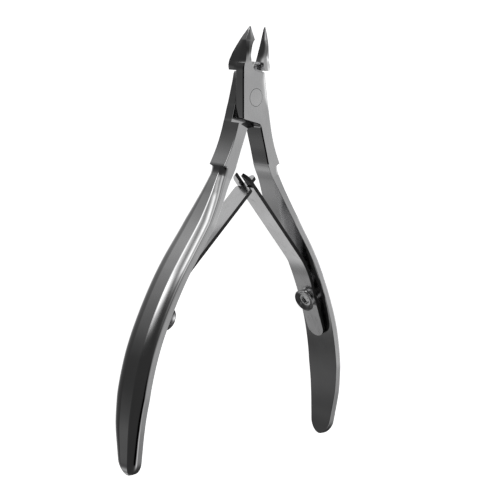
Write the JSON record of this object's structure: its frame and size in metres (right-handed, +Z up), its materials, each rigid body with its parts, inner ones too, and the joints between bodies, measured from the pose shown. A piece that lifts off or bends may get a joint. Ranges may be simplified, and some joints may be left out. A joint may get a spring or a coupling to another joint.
{
  "type": "cuticle nipper",
  "caption": "Lap-jointed hand nipper with slanted cutting jaws, bowed handles and two interlocking leaf springs.",
  "frame": {"origin": "centre of the underside of the bounding box, on the surface the nipper lies on", "axes": "+Y along the nipper towards the jaws, +X across towards the right handle, +Z up, out of the front face of the joint"},
  "size_m": [0.0722, 0.1044, 0.0098],
  "materials": {
    "polished_steel": "polished forged stainless steel",
    "spring_steel": "satin rolled strip",
    "turned_steel": "bright turned stainless steel"
  },
  "bodies": {
    "back_lever": {"lever_back": "polished_steel", "pivot_rivet": "turned_steel", "tongue_leaf_foot": "spring_steel", "spring_screw_left": "turned_steel", "screw_washer_left": "turned_steel", "leaf_spacer_left": "turned_steel"},
    "front_lever": {"lever_front": "polished_steel", "fork_leaf_foot": "spring_steel", "spring_screw_right": "turned_steel", "screw_washer_right": "turned_steel", "leaf_spacer_right": "turned_steel"},
    "fork_arm": {"fork_leaf_arm": "spring_steel"},
    "tongue_arm": {"tongue_leaf_arm": "spring_steel"}
  },
  "joints": [
    {"name": "lever_pivot", "type": "hinge", "parent": "back_lever", "child": "front_lever", "pos_m": [0, 0.03542, 0.0049], "axis": [0, 0, -1], "range_deg": [0, 16.4], "stiffness_Nm_per_rad": 0.3},
    {"name": "fork_flex", "type": "hinge", "parent": "front_lever", "child": "fork_arm", "pos_m": [0.02075, -0.00633, 0.0049], "axis": [0, 0, -1], "range_deg": [0, 8.3]},
    {"name": "tongue_flex", "type": "hinge", "parent": "back_lever", "child": "tongue_arm", "pos_m": [-0.02075, -0.00633, 0.0049], "axis": [0, 0, 1], "range_deg": [0, 9.1]}
  ],
  "couplings": [
    {"joint": "fork_flex", "follows": "lever_pivot", "ratio": 0.5},
    {"joint": "tongue_flex", "follows": "lever_pivot", "ratio": 0.55}
  ]
}
